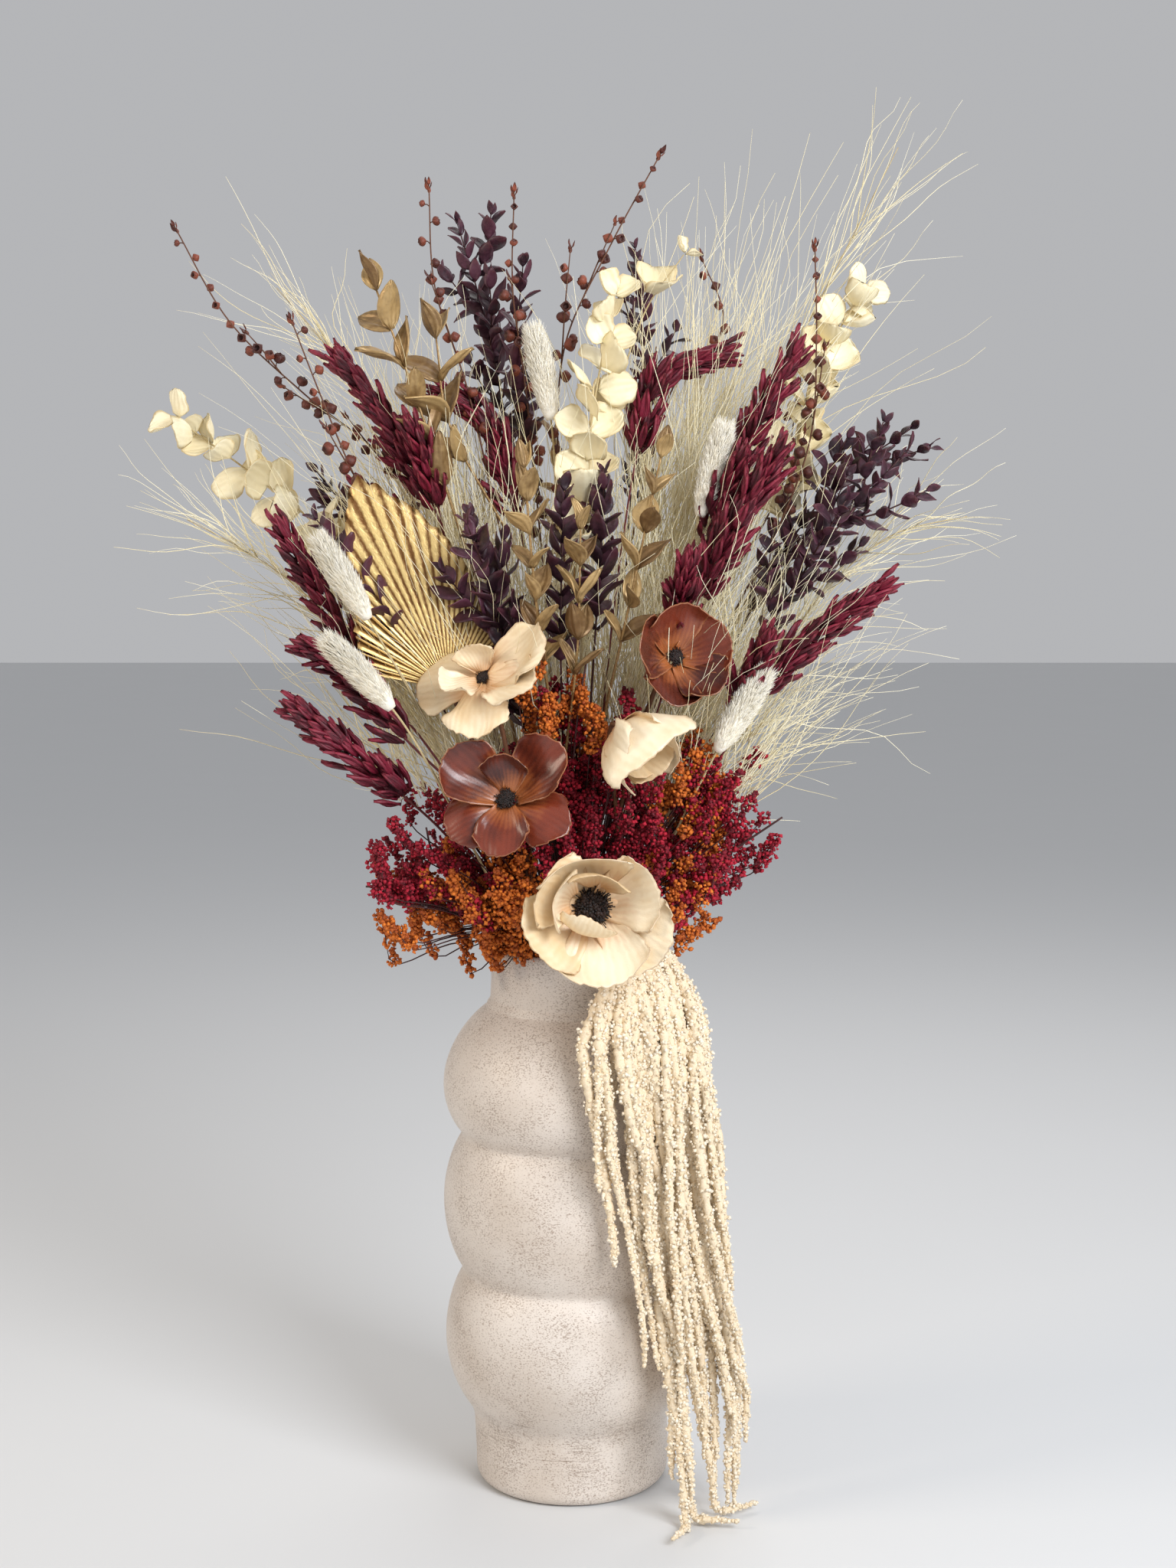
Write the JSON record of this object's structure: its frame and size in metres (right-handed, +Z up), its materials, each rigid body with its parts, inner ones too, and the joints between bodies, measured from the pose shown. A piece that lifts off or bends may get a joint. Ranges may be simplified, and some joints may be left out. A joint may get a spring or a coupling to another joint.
{
  "type": "dried flower arrangement in a vase",
  "caption": "Dried and preserved flower arrangement standing in a foam plug in the neck of a three-lobed stoneware vase, with amaranth tails hanging over the rim.",
  "frame": {"origin": "centre of the vase's flat underside", "axes": "+Z up along the vase's axis; the front of the arrangement faces -Y, and +X is to its right as seen from the front"},
  "size_m": [0.4855, 0.2531, 0.8295],
  "materials": {
    "stoneware": "satin",
    "dry_foam": "matte",
    "bead_pods": "matte",
    "cream_leaves": "matte",
    "purple_leaves": "matte",
    "burgundy_oats": "matte",
    "gold_leaves": "satin",
    "bunny_tails": "matte",
    "crimson_sprigs": "matte",
    "orange_sprigs": "matte",
    "feather_grass": "matte",
    "wood_stems": "matte",
    "cream_petals": "satin",
    "copper_petals": "satin",
    "gold_spear": "satin",
    "cream_amaranth": "matte"
  },
  "bodies": {
    "vase": {"vase": "stoneware"},
    "bouquet": {"amaranth_stalk": "wood_stems", "bead_stem_far_left": "bead_pods", "bead_stem_left": "bead_pods", "bead_stem_right": "bead_pods", "bead_stem_tall": "bead_pods", "bead_stem_top": "bead_pods", "bead_stem_upper_left": "bead_pods", "bunny_tail_left": "bunny_tails", "bunny_tail_low_left": "bunny_tails", "bunny_tail_low_right": "bunny_tails", "bunny_tail_right": "bunny_tails", "bunny_tail_top": "bunny_tails", "copper_flower_left_petals": "copper_petals", "copper_flower_left_stem": "wood_stems", "copper_flower_upper_right_petals": "copper_petals", "copper_flower_upper_right_stem": "wood_stems", "cream_flower_middle_inner_petals": "cream_petals", "cream_flower_middle_petals": "cream_petals", "cream_flower_middle_stem": "wood_stems", "cream_flower_right_petals": "cream_petals", "cream_flower_right_stem": "wood_stems", "cream_flower_upper_left_petals": "cream_petals", "cream_flower_upper_left_stem": "wood_stems", "crimson_sprig_left": "crimson_sprigs", "crimson_sprig_middle": "crimson_sprigs", "crimson_sprig_right": "crimson_sprigs", "eucalyptus_left": "cream_leaves", "eucalyptus_middle": "cream_leaves", "eucalyptus_right": "cream_leaves", "foam_plug": "dry_foam", "gold_branch_back": "gold_leaves", "gold_branch_left": "gold_leaves", "gold_branch_middle": "gold_leaves", "gold_branch_right": "gold_leaves", "grass_back": "feather_grass", "grass_left": "feather_grass", "grass_right": "feather_grass", "grass_tall_right": "feather_grass", "grass_upper_left": "feather_grass", "oat_left": "burgundy_oats", "oat_low_left": "burgundy_oats", "oat_low_right": "burgundy_oats", "oat_right": "burgundy_oats", "oat_top_right": "burgundy_oats", "oat_upper_left": "burgundy_oats", "oat_upper_right": "burgundy_oats", "orange_sprig_left": "orange_sprigs", "orange_sprig_top": "orange_sprigs", "palm_spear_blade": "gold_spear", "palm_spear_stem": "wood_stems", "parvifolia_back": "purple_leaves", "parvifolia_left": "purple_leaves", "parvifolia_low_right": "purple_leaves", "parvifolia_middle": "purple_leaves", "parvifolia_right": "purple_leaves", "parvifolia_top": "purple_leaves"},
    "amaranth": {"amaranth_front": "cream_amaranth", "amaranth_middle": "cream_amaranth", "amaranth_side": "cream_amaranth"}
  },
  "joints": [
    {"name": "bouquet_lift", "type": "slide", "parent": "vase", "child": "bouquet", "axis": [0, 0, 1], "range_m": [0, 0.08]},
    {"name": "amaranth_swing", "type": "hinge", "parent": "bouquet", "child": "amaranth", "pos_m": [0.03857, -0.04596, 0.3565], "axis": [-0.766, -0.6428, 0], "range_deg": [0, 35]}
  ]
}
